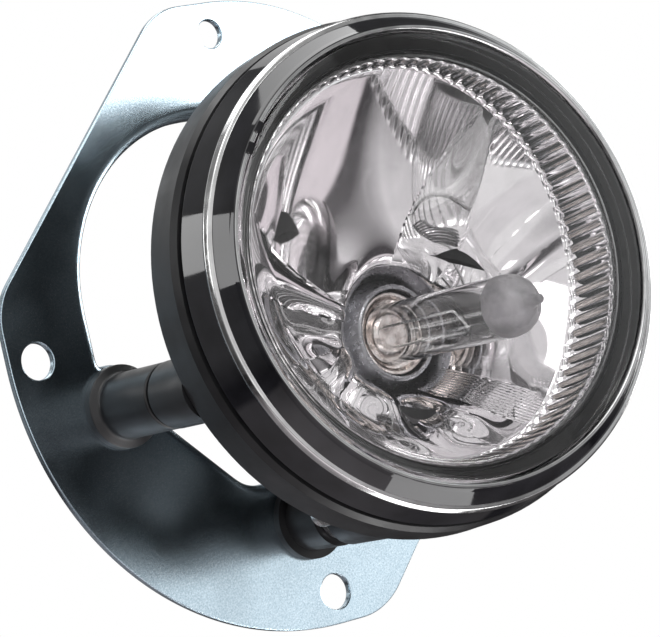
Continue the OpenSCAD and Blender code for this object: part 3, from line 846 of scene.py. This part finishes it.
def flute_ring():
    """Fluted wall in the frame of the lens, cut square to the beam where it stands on the reflector."""
    axes = LENS_FRAME.to_3x3()
    rise = Vector((-axes[1][0], -axes[1][1]))
    forward = -axes[1][2]
    columns, rows = FLUTES * 10, 10
    bm = bmesh.new()
    sections = []
    for i in range(columns):
        a = math.tau * i / columns
        u = Vector((math.cos(a), math.sin(a)))

        def foot(r):
            """Where the wall meets the reflector's ledge."""
            return (RIM_H + 0.05 - LENS_H - rise.dot(u) * r) / forward

        wave = 2 * abs(math.cos(a * FLUTES / 2)) - 1
        r = FLUTE_R + FLUTE_DEPTH * wave
        inner = [(r + 0.25, FLUTE_TOP_Z)]
        for k in range(rows + 1):
            f = k / rows
            z = FLUTE_TOP_Z - 0.3 + (foot(r) + 0.35 - FLUTE_TOP_Z + 0.3) * f
            inner.append((r, z))
        lip = r - 0.32
        inner += [(r - 0.12, foot(r) + 0.22), (lip, foot(lip) + 0.1), (lip, foot(lip))]
        loop = inner + [(FLUTE_BACK_R, foot(FLUTE_BACK_R)), (FLUTE_BACK_R, FLUTE_TOP_Z)]
        sections.append([bm.verts.new((rr * u.x, rr * u.y, z)) for rr, z in loop])
    rings(bm, sections)
    new_piece("flute_wall", bm, ["bright_reflector"], LENS_FRAME, "lamp", "flute_ring",
              sharp=50)


# ---------------------------------------------------------------- bulb

TIP_H = 61.5
BULB_R, BULB_WALL = 6.4, 0.75
COAT_H, COAT_SKIN, COAT_GAP = 50.3, 0.07, 0.005
GLASS_FOOT_H = 12.0
CUP_H = 9.0
FILAMENT_AT = (0.3, -2.8)
FILAMENT_H = (31.0, 36.4)
COIL_R, COIL_TURNS, COIL_STEPS, COIL_WIRE_R = 0.95, 9, 14, 0.15
LEAD_R = 0.27
RETURN_AT = (-2.6, 1.6)


def tube_nose():
    """Outline of the drawn tip of the tube, from the tip back."""
    return [(0.55, TIP_H - 0.08), (0.85, TIP_H - 0.45), (0.95, TIP_H - 1.2), (1.15, TIP_H - 2.2),
            (1.7, TIP_H - 3.2), (2.8, TIP_H - 4.2), (4.2, TIP_H - 5.2), (5.3, TIP_H - 6.5),
            (6.1, TIP_H - 8.3), (BULB_R, TIP_H - 10.2)]


def bulb_envelope(place):
    """The glass tube and the paint on its tip."""
    nose = tube_nose()
    bore = BULB_R - BULB_WALL
    inside = [(bore, TIP_H - 10.4), (5.3, TIP_H - 8.8), (4.4, TIP_H - 7.4), (3.1, TIP_H - 6.3),
              (1.6, TIP_H - 5.5), (0, TIP_H - 5.2)]
    glass = [(0, TIP_H)] + nose + [(BULB_R, GLASS_FOOT_H), (bore, GLASS_FOOT_H)] + inside
    new_piece("bulb_tube", lathe(glass, 96), ["bulb_glass"], place, "bulb", "bulb_glass",
              sharp=60)

    def over(points, distance):
        """An outline that lies a little outside the glass."""
        return [(r + distance, h + distance) for r, h in points]

    coat = ([(0, TIP_H + COAT_SKIN)] + over(nose, COAT_SKIN)
            + [(BULB_R + COAT_SKIN, COAT_H), (BULB_R + COAT_GAP, COAT_H)]
            + over(reversed(nose), COAT_GAP) + [(0, TIP_H + COAT_GAP)])
    new_piece("bulb_tip_paint", lathe(coat, 96), ["tip_paint"], place, "bulb", "bulb_tip_coat",
              sharp=60)


def bulb_wiring(place):
    """The coiled filament and the wires that hold it."""
    fx, fy = FILAMENT_AT
    low, high = FILAMENT_H
    last = COIL_TURNS * COIL_STEPS
    path = []
    for i in range(last + 1):
        a = math.tau * i / COIL_STEPS
        path.append((fx + COIL_R * math.cos(a), fy + COIL_R * math.sin(a),
                     low + (high - low) * i / last))
    bm = bmesh.new()
    wire(bm, path, COIL_WIRE_R, 8)
    new_piece("bulb_coil", bm, ["dark_metal"], place, "bulb", "bulb_filament", sharp=60)

    rx, ry = RETURN_AT
    foot, turn_h = GLASS_FOOT_H + 2, high + 1.6
    bm = bmesh.new()
    for route in (
            [(fx, fy, foot), (fx, fy, 24), (fx, fy + 0.1, 29.4), (fx + 0.5, fy, 30.5),
             (fx + 0.95, fy, 31)],
            [(rx, ry, foot), (rx, ry, 25), (rx, ry, turn_h - 0.8), (rx + 0.2, ry - 0.3, turn_h - 0.15),
             (rx + 0.7, ry - 1.0, turn_h), (fx - 0.4, fy + 1.0, turn_h),
             (fx + 0.4, fy + 0.4, turn_h - 0.3), (fx + 0.95, fy, high)],
            [(2.6, 1.8, foot), (2.6, 1.8, 20), (2.5, 1.7, 25)]):
        wire(bm, route, LEAD_R)
    new_piece("bulb_wires", bm, ["plated_steel"], place, "bulb", "bulb_leads", sharp=60)


def bulb_foot(place):
    """The metal cup that holds the tube, and the dark ring round it."""
    cup = soften([
        (0, CUP_H, 0), (8.7, CUP_H, 0.3), (8.75, 13.9, 0.35), (8.1, 13.9, 0.3), (7.3, 12.8, 0.6),
        (BULB_R + 0.1, 12.4, 0.2), (BULB_R + 0.1, GLASS_FOOT_H, 0), (4.8, GLASS_FOOT_H, 0),
        (4.8, 13.2, 0.6), (3.9, 14.0, 0.4), (0, 14.0, 0)])
    new_piece("bulb_cup", lathe(cup, 96), ["cup_metal"], place, "bulb", "bulb_collar")

    ring = soften([
        (9.2, 9.6, 0), (11.5, 9.6, 0), (11.5, 11.0, 0.5), (10.2, 14.9, 0.5), (9.7, 15.3, 0.3),
        (9.2, 15.1, 0.3)])
    new_piece("bulb_foot_ring", lathe(ring, 128), ["spring_steel"], place, "lamp", "bulb_shield")


make_camera()
make_world()
make_sweep()
make_lights()
finish_frame_nodes()
mounting_plate()
whiten_plate()
moulded_post("left", POST_LEFT)
moulded_post("right", POST_RIGHT)
aiming_screw()
bezel()
lens_glass()
flute_ring()
reflector()
for part in (bulb_envelope, bulb_wiring, bulb_foot):
    part(on_plate(BULB_AT))

bpy.context.scene.view_settings.view_transform = "Standard"
